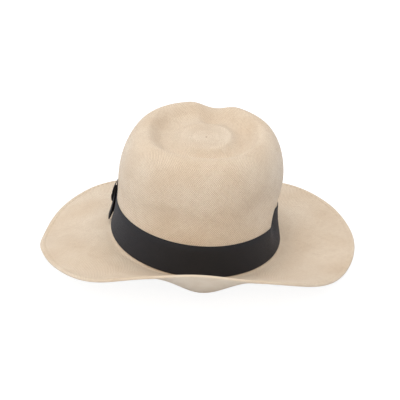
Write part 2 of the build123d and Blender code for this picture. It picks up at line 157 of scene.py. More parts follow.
# ---- inside
LEATHER = 1.0
SWEAT_GAP = 0.7         # between straw and leather
SWEAT_LOW, SWEAT_HIGH = 3.0, 36.0  # heights of the leather's edges above the break
SWEAT_SPLIT = 1.0       # gap where the leather's ends meet at the back
SWEAT_FACE = STRAW + SWEAT_GAP + LEATHER  # depth of the leather's visible face
REED_RADIUS = 1.1
REED_DROP = 0.2         # air between the reed and the leather's lower edge
REED_IN = 0.4           # the reed lies this much further in than the leather's middle
BACK = -90.0            # direction of the back, where tape and tiny bow sit
TAPE = 0.4
TAPE_GAP = 0.3
TAPE_WIDTH = 9.0
TAPE_FOOT = 4.0         # the tape starts this far above the leather's lower edge
TAPE_SHORT = 5.0        # and is this much shorter than the leather is high
LABEL = 0.2
LABEL_GAP = 0.12
LABEL_WIDTH, LABEL_HEIGHT = 22.0, 12.0
LABEL_AT = 175.0        # direction of the tag
LABEL_TUCK = 6.0        # it reaches this far down behind the leather
TINY_RIBBON = 4.5       # width of the tiny bow's ribbon
TINY_THICKNESS = 0.4
TINY_LOOP = 3.4         # half-length of each of its loops
TINY_OUT = 1.6          # its middle stands this far off the tape
TINY_FOOT = 3.2         # its lower edge above the leather's
TINY_HALF = 1.2         # half its depth

STEP = 1e-3             # for slopes worked out by differences
TAU = 2 * math.pi


# ================================================================ shape of the straw
def bump(phi, centre, half_width):
    """1 in the direction centre, falling smoothly to 0 at half_width degrees from it."""
    away = np.abs((np.degrees(phi) - centre + 180) % 360 - 180)
    return 0.5 * (1 + np.cos(math.pi * np.minimum(away / half_width, 1)))


def hill(value, centre, spread):
    return np.exp(-(((value - centre) / spread) ** 2))


def ease(share):
    """0 to 1, level at both ends."""
    return 0.5 * (1 - np.cos(math.pi * np.clip(share, 0, 1)))


def xyz(x, y, z):
    return np.stack(np.broadcast_arrays(x, y, z), -1)


def unit(v):
    return v / np.maximum(np.linalg.norm(v, axis=-1, keepdims=True), 1e-9)


def head_oval(phi):
    return HALF_WIDTH * np.cos(phi) * (1 - EGG * np.sin(phi)), HALF_LENGTH * np.sin(phi)


def outward(phi):
    """Unit normal of the head oval."""
    ax, ay = head_oval(phi - STEP)
    bx, by = head_oval(phi + STEP)
    length = np.hypot(bx - ax, by - ay)
    return (by - ay) / length, (ax - bx) / length


def rim_height(phi):
    return CROWN_HEIGHT - TOP_TILT * np.cos(phi) - NOTCH * bump(phi, NOTCH_AT, NOTCH_SPREAD)


def break_height(phi):
    return BREAK_LEVEL - BREAK_TILT * np.cos(phi) + BREAK_RISE * np.cos(2 * phi)


def wall_top(phi):
    return rim_height(phi) - SHOULDER_DOWN


def crown_point(phi, height, inset):
    """A point of the crown's outside, inset from the head oval, with its pinches and dent."""
    pinch = PINCH * sum(bump(phi, at, PINCH_SPREAD) for at in PINCHES_AT)
    pinch = pinch * hill(height, PINCH_HEIGHT, PINCH_TALL)
    tall = np.where(height > DENT_HEIGHT, DENT_ABOVE, DENT_BELOW)
    dent = DENT * bump(phi, DENT_AT, DENT_SPREAD) * hill(height, DENT_HEIGHT, tall)
    for amount, at, spread, middle, tall in HOLLOWS:
        dent = dent + amount * bump(phi, at, spread) * hill(height, middle, tall)
    full = sum(amount * bump(phi, at, FULL_SPREAD) for amount, at in FULLNESS)
    full = full * np.clip((height - FULL_FROM) / FULL_TALL, 0, 1) ** 2
    x, y = head_oval(phi)
    nx, ny = outward(phi)
    out = full - inset - pinch - dent
    return xyz(x + nx * out + LEAN * height, y + ny * out, height)


def wall_point(phi, height):
    taper = TAPER * (1 - (1 - np.minimum(height / TAPER_HEIGHT, 1)) ** 2)
    bulge = BULGE * hill(np.minimum(height, BULGE_HEIGHT), BULGE_HEIGHT, BULGE_TALL)
    point = crown_point(phi, height, taper - bulge)
    foot = break_height(phi) * (1 - (np.maximum(height, 0) / wall_top(phi)) ** 4)
    point[..., 2] += foot
    return point


def shoulder_point(phi, turn):
    """turn runs from 0 at the wall to 90 degrees at the rim."""
    turn = np.radians(turn)
    bulge = BULGE * hill(np.minimum(wall_top(phi), BULGE_HEIGHT), BULGE_HEIGHT, BULGE_TALL)
    inset = TAPER - bulge + SHOULDER_IN * (1 - np.cos(turn))
    return crown_point(phi, wall_top(phi) + SHOULDER_DOWN * np.sin(turn), inset)


def top_point(phi, reach):
    rim = shoulder_point(phi, 90.0 + 0 * phi)
    high = rim[..., 2]
    crease = high - CREASE_DEPTH + CREASE_FRONT * bump(phi, FRONT, 60)
    centre = CROWN_HEIGHT - CENTRE_DROP
    outer = high - (high - crease) * ease((1 - reach) / (1 - CREASE_AT))
    inner = crease + (centre - crease) * ease((CREASE_AT - reach) / CREASE_WIDE)
    cx, cy = TOP_CENTRE
    z = np.where(reach > CREASE_AT, outer, inner)
    return xyz(cx + (rim[..., 0] - cx) * reach, cy + (rim[..., 1] - cy) * reach, z)


def edge_height(phi):
    return EDGE_LEVEL + sum(amount * bump(phi, at, spread) for amount, at, spread in EDGE_WAVES)


def brim_point(phi, share):
    """share is 0 on the break and 1 at the edge."""
    rise = edge_height(phi)
    width = BRIM + BRIM_SKEW * np.cos(phi)
    reach = np.sqrt(width**2 - (EDGE_PULL * rise) ** 2)
    curl = bump(phi, CURL_AT, CURL_SPREAD)
    rolled = (np.maximum(share - CURL_START, 0) / (1 - CURL_START)) ** CURL_POWER
    lift = (1 - curl) * np.maximum(share, 0) ** FLARE_POWER + curl * rolled
    x, y = head_oval(phi)
    nx, ny = outward(phi)
    z = break_height(phi) * (1 - share) + rise * lift
    return xyz(x + nx * reach * share, y + ny * reach * share, z)


def bend_point(phi, share):
    share = np.asarray(share)[..., None]
    start = wall_point(phi, BREAK_RADIUS + 0 * phi)
    end = brim_point(phi, BREAK_RADIUS / BRIM + 0 * phi)
    corner = wall_point(phi, 0 * phi)
    return start * (1 - share) ** 2 + corner * (2 * share * (1 - share)) + end * share**2


def skin(phi, u):
    """The straw's outside: u 0-1 top, 1-2 shoulder, 2-3 wall, 3-4 bend, 4-5 brim."""
    phi, u = np.broadcast_arrays(np.asarray(phi, float), np.asarray(u, float))
    high = wall_top(phi)
    first = BREAK_RADIUS / BRIM
    parts = [
        top_point(phi, np.clip(u, 0, 1)),
        shoulder_point(phi, 90 * (2 - np.clip(u, 1, 2))),
        wall_point(phi, high + (BREAK_RADIUS - high) * (np.clip(u, 2, 3) - 2)),
        bend_point(phi, np.clip(u, 3, 4) - 3),
        brim_point(phi, first + (1 - first) * (np.maximum(u, 4) - 4)),
    ]
    zone = np.clip(np.ceil(u).astype(int) - 1, 0, 4)
    return np.choose(zone[..., None], parts)


def normal(phi, u):
    """Unit normal of the outside."""
    phi, u = np.broadcast_arrays(np.asarray(phi, float), np.asarray(u, float))
    low = np.maximum(np.floor(u), u - 0.01)
    forward = (u - low < 0.005) | (u <= 0.02)
    low = np.where(forward, u, low)
    high = np.where(forward, u + 0.01, u)
    along = skin(phi, high) - skin(phi, low)
    around = skin(phi + STEP, u) - skin(phi - STEP, u)
    return unit(np.cross(along, around))


def off_skin(phi, u, distance):
    return skin(phi, u) + normal(phi, u) * np.asarray(distance, float)[..., None]


def outside(phi, height, distance):
    """A point at a height above the break and a distance off the straw of the crown."""
    phi, height = np.broadcast_arrays(np.asarray(phi, float), np.asarray(height, float))
    high = wall_top(phi)
    wall = 2 + (high - height) / (high - BREAK_RADIUS)
    turn = np.degrees(np.arcsin(np.clip((height - high) / SHOULDER_DOWN, 0, 1)))
    return off_skin(phi, np.where(height <= high, wall, 2 - turn / 90), distance)


def inside(phi, height, distance):
    """A point inside the crown, a distance in from the straw's outer surface."""
    nx, ny = outward(phi)
    return wall_point(phi, height) - xyz(nx * distance, ny * distance, 0 * phi)


def bow_point(along, up, out):
    """along runs round the hat towards the rear, up is over the knot's middle, out is off the straw."""
    return outside(math.radians(BOW_AT) + along / HALF_LENGTH, BOW_MIDDLE + up, out)


# ================================================================ mesh making
def lattice(name, points, body, material, stands_for=(), slot=None, close_rows=False,
            close_columns=False, caps=False, tips=False, uv=None, sharp=40):
    """A mesh of quads from a grid of points in millimetres.

    caps closes the first and last row of a strip whose columns run out and back over a section.
    tips closes small first and last rings with a face each.
    uv holds two grids, for each row of quads its values on the first and on the second row of points.
    """
    rows, columns = points.shape[:2]
    index = np.arange(rows * columns).reshape(rows, columns)
    a = index if close_rows else index[:-1]
    b = np.roll(index, -1, 0) if close_rows else index[1:]
    if close_columns:
        quads = [a, np.roll(a, -1, 1), np.roll(b, -1, 1), b]
    else:
        quads = [a[:, :-1], a[:, 1:], b[:, 1:], b[:, :-1]]
    faces = np.stack(quads, -1).reshape(-1, 4)
    quad_count = len(faces)
    if caps:
        half = columns // 2
        for row, flip in ((0, True), (rows - 1, False)):
            out = index[row, :half]
            back = index[row, half:][::-1]
            cap = np.stack([out[:-1], out[1:], back[1:], back[:-1]], -1)
            faces = np.concatenate([faces, cap[:, ::-1] if flip else cap])
    mesh = bpy.data.meshes.new(name)
    mesh.vertices.add(rows * columns)
    mesh.vertices.foreach_set("co", (points * MM).astype(np.float32).ravel())
    corner_index = faces.ravel()
    starts = np.arange(0, faces.size, 4)
    if tips:
        corner_index = np.concatenate([corner_index, index[0, ::-1], index[-1]])
        starts = np.concatenate([starts, [faces.size, faces.size + columns]])
    mesh.loops.add(len(corner_index))
    mesh.loops.foreach_set("vertex_index", corner_index.astype(np.int32))
    mesh.polygons.add(len(starts))
    mesh.polygons.foreach_set("loop_start", starts.astype(np.int32))
    if uv is not None:
        low, high = uv
        corners = np.stack([low[:, :-1], low[:, 1:], high[:, 1:], high[:, :-1]], 2)
        values = np.zeros((len(corner_index), 2), np.float32)
        values[:quad_count * 4] = corners.reshape(-1, 2)
        mesh.uv_layers.new(name="weave").data.foreach_set("uv", values.ravel())
    mesh.update(calc_edges=True)
    mesh.validate(clean_customdata=False)
    return settle(mesh, body, material, stands_for, slot, sharp)


def settle(mesh, body, material, stands_for, slot, sharp):
    """The object of a finished mesh: shaded, in the scene and tied to its body and CAD nodes."""
    mesh.shade_smooth()
    mesh.set_sharp_from_angle(angle=math.radians(sharp))
    obj = bpy.data.objects.new(mesh.name, mesh)
    bpy.context.scene.collection.objects.link(obj)
    mesh.materials.append(material)
    if stands_for:
        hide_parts(*stands_for)
    if body:
        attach(obj, body)
    return obj


def join_grids(name, grids, body, material, stands_for=(), slot=None, sharp=60):
    """One mesh from many small grids of points, each closed round its columns, with a fan at each end."""
    points = np.concatenate([g.reshape(-1, 3) for g in grids])
    faces = []
    first = 0
    for grid in grids:
        rows, columns = grid.shape[:2]
        index = np.arange(rows * columns).reshape(rows, columns) + first
        a, b = index[:-1], index[1:]
        faces += np.stack([a, np.roll(a, -1, 1), np.roll(b, -1, 1), b], -1).reshape(-1, 4).tolist()
        faces += [index[0, ::-1].tolist(), index[-1].tolist()]
        first += rows * columns
    mesh = bpy.data.meshes.new(name)
    mesh.from_pydata((points * MM).tolist(), [], faces)
    mesh.update()
    return settle(mesh, body, material, stands_for, slot, sharp)


def tube(path, radius, sides=6):
    """Rings of points round a path; radius may vary along it."""
    path = np.asarray(path, float)
    radius = np.broadcast_to(np.asarray(radius, float), len(path))
    along = unit(np.gradient(path, axis=0))
    helper = np.array([0, 0, 1.0]) if abs(along[0][2]) < 0.9 else np.array([1.0, 0, 0])
    side = unit(np.cross(along, helper))
    up = np.cross(side, along)
    angle = np.arange(sides) * TAU / sides
    ring = side[:, None] * np.cos(angle)[:, None] + up[:, None] * np.sin(angle)[:, None]
    return path[:, None] + ring * radius[:, None, None]


# ================================================================ materials
class Shader:
    """A material's node tree with short ways to add to it."""

    def __init__(self, name, roughness=0.7, sheen=0.0, bump=0.0):
        self.material = bpy.data.materials.new(name)
        self.material.use_nodes = True
        self.tree = self.material.node_tree
        self.surface = self.tree.nodes["Principled BSDF"]
        self.set(self.surface, "Roughness", roughness)
        self.set(self.surface, "Sheen Weight", sheen)
        self.set(self.surface, "Sheen Roughness", 0.5)
        self.set(self.surface, "Specular IOR Level", 0.35)
        self.bump_distance = bump

    def set(self, node, name, value):
        socket = node.inputs[name]
        if isinstance(value, bpy.types.NodeSocket):
            self.tree.links.new(value, socket)
        else:
            socket.default_value = value

    def node(self, kind, output, inputs=(), **settings):
        made = self.tree.nodes.new(kind)
        for key, value in settings.items():
            setattr(made, key, value)
        for name, value in dict(inputs).items():
            self.set(made, name, value)
        return made.outputs[output]

    def math(self, operation, a, b=0.0, c=0.0):
        return self.node("ShaderNodeMath", 0, {0: a, 1: b, 2: c}, operation=operation)

    def mix(self, factor, a, b):
        a, b = ((*c, 1) if isinstance(c, tuple) else c for c in (a, b))
        return self.node("ShaderNodeMix", 2, {0: factor, 6: a, 7: b}, data_type="RGBA")

    def place(self):
        return self.node("ShaderNodeTexCoord", "Object")

    def uv(self):
        """The mesh's own weave coordinates, as two sockets."""
        made = self.tree.nodes.new("ShaderNodeSeparateXYZ")
        self.tree.links.new(self.node("ShaderNodeUVMap", 0, uv_map="weave"), made.inputs[0])
        return made.outputs[0], made.outputs[1]

    def vector(self, x, y, z=0.0):
        return self.node("ShaderNodeCombineXYZ", 0, {0: x, 1: y, 2: z})

    def noise(self, vector, scale, detail=2.0, roughness=0.5):
        return self.node("ShaderNodeTexNoise", 0,
                         {"Vector": vector, "Scale": scale, "Detail": detail, "Roughness": roughness})

    def random(self, vector):
        return self.node("ShaderNodeTexWhiteNoise", 0, {"Vector": vector})

    def ramp(self, value, low, high, to_low=0.0, to_high=1.0):
        return self.node("ShaderNodeMapRange", 0, {"Value": value, "From Min": low, "From Max": high,
                                                   "To Min": to_low, "To Max": to_high})

    def finish(self, colour, height=None, roughness=None):
        self.set(self.surface, "Base Color", colour)
        if roughness is not None:
            self.set(self.surface, "Roughness", roughness)
        if height is not None:
            made = self.node("ShaderNodeBump", 0, {"Height": height, "Distance": self.bump_distance * MM,
                                                   "Strength": 1.0})
            self.set(self.surface, "Normal", made)
        return self.material


def srgb(red, green, blue):
    """A colour given as 0-255 screen values."""
    return tuple(((v / 255 + 0.055) / 1.055) ** 2.4 for v in (red, green, blue))


STRAW_LIGHT = srgb(239, 221, 197)
STRAW_MIDDLE = srgb(229, 207, 180)
STRAW_DARK = srgb(196, 164, 130)
# painted shade: the dark brown laid into the low gaps of the weave
GAP_PAINTED_SHADE = srgb(146, 112, 80)


def weave_parts(s, u, v):
    """Height, gap and strand shade of two sets of straws that cross on the diagonals of u and v."""
    a = s.math("ADD", u, v)
    b = s.math("SUBTRACT", u, v)
    fa, fb = s.math("FRACT", a), s.math("FRACT", b)
    ia, ib = s.math("FLOOR", a), s.math("FLOOR", b)
    parity = s.math("FLOORED_MODULO", s.math("ADD", ia, ib), 2.0)

    def arch(f):
        centred = s.math("MULTIPLY_ADD", f, 2.0, -1.0)
        return s.math("SUBTRACT", 1.0, s.math("MULTIPLY", centred, centred))

    arch_a, arch_b = arch(fa), arch(fb)
    first = s.math("MULTIPLY", s.math("POWER", arch_b, 0.5), s.math("MULTIPLY_ADD", arch_a, 0.5, 0.5))
    second = s.math("MULTIPLY", s.math("POWER", arch_a, 0.5), s.math("MULTIPLY_ADD", arch_b, 0.5, 0.5))
    height = s.node("ShaderNodeMix", 0, {0: parity, 2: first, 3: second})
    shade_a = s.random(s.vector(ib, s.math("FLOOR", s.math("MULTIPLY", a, 0.04))))
    shade_b = s.random(s.vector(s.math("FLOOR", s.math("MULTIPLY", b, 0.04)), ia, 7.0))
    shade = s.node("ShaderNodeMix", 0, {0: parity, 2: shade_a, 3: shade_b})
    return height, shade


def straw_material():
    """Woven straw: each straw its own tone, with painted shade in the low gaps between straws and broad and
    fine mottling.
    """
    s = Shader("woven_straw", roughness=0.62, sheen=0.12, bump=0.5)
    u, v = s.uv()
    height, shade = weave_parts(s, u, v)
    broad = s.noise(s.place(), 22, 3)
    patch = s.noise(s.place(), 90, 2)
    fine = s.noise(s.place(), 500, 2)
    tone = s.mix(s.ramp(broad, 0.35, 0.65), STRAW_MIDDLE, STRAW_LIGHT)
    tone = s.mix(s.math("MULTIPLY", s.ramp(shade, 0.6, 1.0), 0.15), tone, STRAW_DARK)
    tone = s.mix(s.math("MULTIPLY", s.ramp(shade, 0.3, 0.0), 0.18), tone, STRAW_LIGHT)
    tone = s.mix(s.math("MULTIPLY", s.ramp(patch, 0.5, 0.75), 0.18), tone, STRAW_DARK)
    tone = s.mix(s.math("MULTIPLY", s.ramp(fine, 0.45, 0.7), 0.18), tone, STRAW_DARK)
    # painted shade: darker where the weave's bump height is low, in the gaps between straws
    tone = s.mix(s.ramp(height, 0.75, 0.0, 0.0, 0.85), tone, GAP_PAINTED_SHADE)
    rough = s.ramp(height, 0.0, 1.0, 0.8, 0.55)
    return s.finish(tone, height, rough)


def thread_material(name, colour, dark):
    s = Shader(name, roughness=0.75, sheen=0.2, bump=0.1)
    twist = s.noise(s.place(), 2600, 2)
    return s.finish(s.mix(twist, dark, colour), twist)


def grosgrain_material():
    """Black ribbon: its ribs are in the mesh; here are its threads, fuzz and wear."""
    s = Shader("black_grosgrain", roughness=0.62, sheen=0.12, bump=0.05)
    s.set(s.surface, "Sheen Tint", (0.5, 0.45, 0.48, 1))
    u, v = s.uv()
    thread = s.math("SINE", s.math("MULTIPLY", v, TAU * 2.2))
    fuzz = s.noise(s.place(), 900, 3)
    broad = s.noise(s.place(), 30, 2)
    tone = s.mix(fuzz, srgb(16, 15, 19), srgb(31, 30, 35))
    tone = s.mix(s.ramp(broad, 0.4, 0.7, 0, 0.4), tone, srgb(18, 17, 18))
    height = s.math("ADD", s.math("MULTIPLY", thread, 0.3), fuzz)
    return s.finish(tone, height)


def leather_material():
    """Tan leather with grain cells and a patchy shine."""
    s = Shader("tan_leather", roughness=0.45, bump=0.12)
    cells = s.node("ShaderNodeTexVoronoi", 0, {"Vector": s.place(), "Scale": 900.0})
    broad = s.noise(s.place(), 35, 3)
    tone = s.mix(s.ramp(broad, 0.35, 0.7), srgb(172, 122, 78), srgb(140, 94, 56))
    tone = s.mix(s.ramp(cells, 0.0, 0.5, 0.35, 0.0), tone, srgb(110, 70, 40))
    rough = s.ramp(broad, 0.3, 0.7, 0.4, 0.55)
    return s.finish(tone, cells, rough)


def reed_material():
    s = Shader("reed", roughness=0.55, bump=0.08)
    grain = s.noise(s.place(), 400, 3)
    return s.finish(s.mix(grain, srgb(196, 172, 132), srgb(222, 202, 165)), grain)


def cloth_material(name, colour, dark, pitch):
    s = Shader(name, roughness=0.8, sheen=0.2, bump=0.12)
    u, v = s.uv()
    warp = s.math("SINE", s.math("MULTIPLY", u, TAU / pitch))
    weft = s.math("SINE", s.math("MULTIPLY", v, TAU / pitch))
    height = s.math("MULTIPLY_ADD", s.math("MULTIPLY", warp, weft), 0.5, 0.5)
    speck = s.noise(s.place(), 500, 2)
    tone = s.mix(s.math("MULTIPLY", height, speck), dark, colour)
    return s.finish(tone, height)


# ================================================================ straw body
AROUND = 400            # columns of points
ROW_STEP = 2.0          # wanted spacing of rows along the profile
FINE_STEP = 0.5         # and near the brim's edge
FINE_FROM = 4.85        # from here out, as u
PROFILE_AT = -135.0     # the rows are spaced along the profile in this direction
STRAND = 2.1            # spacing of the straws round the hat
RING = 14.0             # straws are added at rings this far apart
FIRST_RINGS = (1.5, 3.0, 6.0)  # and at these near the middle of the top
HEM_ROLL = 0.35         # the folded edge stands up by this
HEM_GROOVE = 0.12       # and dips by this inside its stitches


def straw_thickness(u):
    """The weave's thickness, more where the edge is folded under."""
    from_edge = (5 - u) * BRIM
    return STRAW + HEM_EXTRA * ease(1.5 - from_edge / HEM)


def hem_relief(u):
    """The fold's rounded rise at the edge and the dip along its stitches."""
    from_edge = (5 - u) * BRIM
    return HEM_ROLL * hill(from_edge, 1.8, 1.4) - HEM_GROOVE * hill(from_edge, HEM, 0.9)


def wobble(phi, u):
    """Soft unevenness of worn straw on the brim."""
    share = ease((u - 3.6) / 1.2)
    return share * (0.35 * np.sin(7 * phi + 3 * u) + 0.25 * np.sin(13 * phi - 5 * u + 1))


def face_point(phi, u):
    return off_skin(phi, u, hem_relief(u) + wobble(phi, u))


def profile():
    """Values of u from the crown's middle to the brim's edge, about evenly spaced."""
    fine = np.linspace(0.015, 5, 1500)
    line = skin(math.radians(PROFILE_AT) + 0 * fine, fine)
    step = np.where(fine[1:] > FINE_FROM, FINE_STEP, ROW_STEP)
    run = np.concatenate([[0], np.cumsum(np.linalg.norm(np.diff(line, axis=0), axis=1) / step)])
    return np.interp(np.linspace(0, run[-1], int(run[-1])), run, fine)


def weave_uv(rows_of_points):
    """Coordinates in straw spacings; at each ring the number of straws follows the girth."""
    closed = np.concatenate([rows_of_points, rows_of_points[:, :1]], 1)
    girth = np.linalg.norm(np.diff(closed, axis=1), axis=2).sum(1)
    rise = np.linalg.norm(np.diff(rows_of_points, axis=0), axis=2).mean(1)
    run = np.concatenate([[0], np.cumsum(rise)])[:-1]
    from_middle = np.minimum(run, run[-1] - run)
    ring_of = (from_middle // RING).astype(int) + np.searchsorted(FIRST_RINGS, from_middle)
    low, high = [], []
    v = 0.0
    turn = np.arange(rows_of_points.shape[1] + 1) / rows_of_points.shape[1]
    for i, ring in enumerate(ring_of):
        members = girth[:-1][ring_of == ring]
        count = max(round(members.mean() / STRAND), 6)
        spacing = (girth[i] + girth[i + 1]) / 2 / count
        low.append(np.stack([turn * count, 0 * turn + v], -1))
        v += rise[i] / max(spacing, 0.3)
        high.append(np.stack([turn * count, 0 * turn + v], -1))
    return np.array(low), np.array(high)


def build_straw():
    """Crown and brim: the outside, round the edge, and back along the inside."""
    u = profile()
    phi = np.arange(AROUND) * TAU / AROUND
    grid_phi, grid_u = np.meshgrid(phi, u)
    out = face_point(grid_phi, grid_u)
    thick = straw_thickness(grid_u)
    back = off_skin(grid_phi, grid_u, wobble(grid_phi, grid_u) - thick)
    half = straw_thickness(5) / 2
    nx, ny = outward(phi)
    side = xyz(nx, ny, 0 * phi)
    up = normal(phi, 5 + 0 * phi)
    middle = (out[-1] + back[-1]) / 2
    nose = [middle + (side * math.sin(t) + up * math.cos(t)) * half for t in np.radians((45, 90, 135))]
    rows = np.concatenate([out, np.array(nose), back[::-1]])
    return lattice("straw_hat", rows, "hat", straw_material(), ("straw_body",), "straw",
                   close_columns=True, tips=True, uv=weave_uv(rows), sharp=60)


straw = build_straw()

# ================================================================ ribbons
RIB_ROWS = 4            # rows of points to a rib
EDGE_THICKNESS = 0.55   # a ribbon's woven edge is this share as thick as the rest


def ribbon_section(levels):
    """Out over the face and back behind: level across the ribbon, side from back (0) to face (1)."""
    levels = tuple(levels)
    face = [(level, EDGE_THICKNESS if level in (0, 1) else 1.0) for level in levels]
    return face + [(level, 0.0) for level in reversed(levels)]


SECTION = ribbon_section((0, 0.015, 0.06, 0.25, 0.5, 0.75, 0.985, 1))
PLEATED = ribbon_section((0.0, *np.linspace(0.03, 0.97, 13), 1.0))  # fine enough for pleats


def rib(length):
    """Height of the ribs at a length along the ribbon: round backs with narrow grooves between."""
    return RIB_DEPTH * (np.abs(np.sin(math.pi * length / RIB)) ** 0.6 - 1)


def strip(name, place, length, width, rows, material, node, slot, body="hat", closed=False,
          section=SECTION, ribbed=0.0, share_of=None, sharp=60):
    """A strip of cloth whose points are place(share, level, side); ribbed is its full thickness or 0."""
    share = np.linspace(0, 1, rows + 1)[:rows] if closed else np.linspace(0, 1, rows)
    level = np.array([pair[0] for pair in section], float)
    side = np.array([pair[1] for pair in section], float)
    share, level = np.meshgrid(share, level, indexing="ij")
    side = np.broadcast_to(side, share.shape)
    if share_of:
        share = share_of(share, level)
    if ribbed:
        side = side * (1 + rib(share * length) / ribbed)
    points = place(share, level, side)
    along = np.concatenate([share[:, 0], [1.0]]) if closed else share[:, 0]
    across = np.concatenate([level[0], level[0][:1]]) * width
    grid = np.stack(np.meshgrid(along * length, across, indexing="ij"), -1)
    return lattice(name, points, body, material, (node,), slot, close_rows=closed, close_columns=True,
                   caps=not closed, uv=(grid[:-1], grid[1:]), sharp=sharp)


grosgrain = grosgrain_material()
black_thread = thread_material("black_thread", srgb(52, 48, 50), srgb(20, 18, 20))
straw_thread = thread_material("straw_thread", srgb(232, 216, 188), srgb(170, 142, 104))


def ribbon_piece(name, place, ribs, width, node, **more):
    """A ribbed length of the black ribbon, so many ribs long."""
    return strip(name, place, ribs * RIB, width, ribs * RIB_ROWS, grosgrain, node, "grosgrain",
                 ribbed=RIBBON, sharp=75, **more)


BAND_RIBS = 650
RIBBON_FOOT = 2.0       # the lower edge comes down to here, on the bend
FOOT_TURN = 0.12        # share of the bend that it covers


def build_band():
    def place(share, level, side):
        phi = share * TAU
        height = RIBBON_FOOT + (RIBBON_LOW + RIBBON_WIDTH - RIBBON_FOOT) * level
        on_wall = 2 + (wall_top(phi) - height) / (wall_top(phi) - BREAK_RADIUS)
        on_bend = 3 + FOOT_TURN * (BREAK_RADIUS - height) / (BREAK_RADIUS - RIBBON_FOOT)
        return off_skin(phi, np.where(height > BREAK_RADIUS, on_wall, on_bend), SLACK + RIBBON * side)

    return ribbon_piece("ribbon_band_cloth", place, BAND_RIBS, RIBBON_WIDTH, "ribbon_band", closed=True)


# ---- bow
BOW_BASE = SLACK + RIBBON + SLACK  # where the knot's back lies, off the straw
LOOP_BASE = BOW_BASE + RIBBON + SLACK  # and the loops' backs
LOOP_RIBS = 184         # ribs along each length of ribbon
KNOT_RIBS = 96
TAIL_RIBS = 38
GATHER_REACH = 11.0     # the loops are gathered this far to each side of the knot
GATHER = 0.08           # they are this share less high there
GATHER_PLEAT = 0.35     # height of the pleats that this makes
GATHER_PLEATS = 3
KNOT_CROWN = 0.5        # the knot's front is this much fuller in its middle
KNOT_PLEAT = 0.32
KNOT_PLEATS = 2.5
KNOT_WAIST = 0.09       # and this share narrower halfway up
TAIL_RIPPLE = 0.3


def loop_shape(along, level):
    """The loops' back and half their thickness: pinched under the knot, fuller beyond it."""
    past = ease((np.abs(along) - KNOT_WIDTH * 0.4) / (LOOP_REACH * 0.45))
    puff = LOOP_PUFF * (LOOP_LOW + (LOOP_HIGH - LOOP_LOW) * level)
    return LOOP_BASE - LOOP_SETTLE * past, LOOP_PINCH + (puff - LOOP_PINCH) * past


def build_loops():
    """Two flat loops in one closed length of ribbon, gathered a little under the knot."""
    def place(share, level, side):
        turn = share * TAU
        inset = RIBBON * (1 - side)
        along = (LOOP_REACH - 1.6 * inset) * np.cos(turn)
        base, half = loop_shape(along, level)
        near = hill(along, 0, GATHER_REACH)
        pleat = GATHER_PLEAT * near * np.cos(level * TAU * GATHER_PLEATS)
        out = base + half + (half - inset) * np.sin(turn) + pleat * np.maximum(np.sin(turn), 0)
        return bow_point(along, LOOP_HEIGHT * (level - 0.5) * (1 - GATHER * near), out)

    return ribbon_piece("bow_loops_cloth", place, LOOP_RIBS, LOOP_HEIGHT, "bow_loops", closed=True,
                        section=PLEATED)


def rounded_path(half_up, half_out, radius, gap):
    """Round a box with rounded corners from the middle of its back, up first: points, normals, run."""
    points, normals = [(gap, -half_out)], [(0.0, -1.0)]
    for corner, (up, out) in enumerate(((1, -1), (1, 1), (-1, 1), (-1, -1))):
        for t in np.radians(np.linspace(0, 90, 7) + 90 * corner):
            facing = (math.sin(t), -math.cos(t))
            points.append((up * (half_up - radius) + radius * facing[0],
                           out * (half_out - radius) + radius * facing[1]))
            normals.append(facing)
    points.append((-gap, -half_out))
    normals.append((0.0, -1.0))
    points, normals = np.array(points), np.array(normals)
    run = np.concatenate([[0], np.cumsum(np.linalg.norm(np.diff(points, axis=0), axis=1))])
    return points, normals, run / run[-1]


def build_knot():
    """The strip wrapped round the middle of the loops, with soft pleats down its front."""
    front = LOOP_BASE + 2 * LOOP_PINCH + KNOT_ROOM + RIBBON
    middle = (BOW_BASE + front) / 2
    half_out = (front - BOW_BASE - RIBBON) / 2
    half_up = LOOP_HEIGHT / 2 + KNOT_OVERHANG
    points, normals, run = rounded_path(half_up, half_out, KNOT_CORNER, KNOT_GAP)

    def place(share, level, side):
        up, out = (np.interp(share, run, points[:, i]) for i in (0, 1))
        facing_up, facing_out = (np.interp(share, run, normals[:, i]) for i in (0, 1))
        front_share = np.clip(facing_out, 0, 1)
        crown = KNOT_CROWN * (1 - (2 * level - 1) ** 2) + KNOT_PLEAT * np.cos(level * TAU * KNOT_PLEATS)
        lift = RIBBON * (side - 0.5) + front_share * (crown - KNOT_CROWN)
        width = KNOT_WIDTH * (1 - KNOT_WAIST * front_share * np.cos(up / half_up * math.pi / 2))
        return bow_point(width * (level - 0.5), up + facing_up * lift, middle + out + facing_out * lift)

    return ribbon_piece("bow_knot_cloth", place, KNOT_RIBS, KNOT_WIDTH, "bow_knot", section=PLEATED)


def tail_point(share, level, side):
    """On the tail, from under the knot (share 0) to its cut end (1); level runs across it."""
    start = KNOT_WIDTH / 2 - TAIL_TUCK
    half = (TAIL_START_WIDTH + (TAIL_END_WIDTH - TAIL_START_WIDTH) * share) / 2
    across = half * (2 * level - 1)
    along = start + (TAIL_END - start) * share
    up = TAIL_CLIMB * ease(share * TAIL_LEVEL_OFF) / ease(TAIL_LEVEL_OFF) + across
    on_loop = np.clip(up / LOOP_HEIGHT + 0.5, 0, 1)
    fall = TAIL_FALL * ease((up - LOOP_HEIGHT / 2) / TAIL_FALL_OVER)
    ripple = TAIL_RIPPLE * share * np.sin(across * 0.2 + share * 5)
    base, half_loop = loop_shape(along, on_loop)
    out = base + 2 * half_loop + TAIL_SLACK - fall + ripple
    return bow_point(along + TAIL_SLANT * across * share, up, out + RIBBON * side)


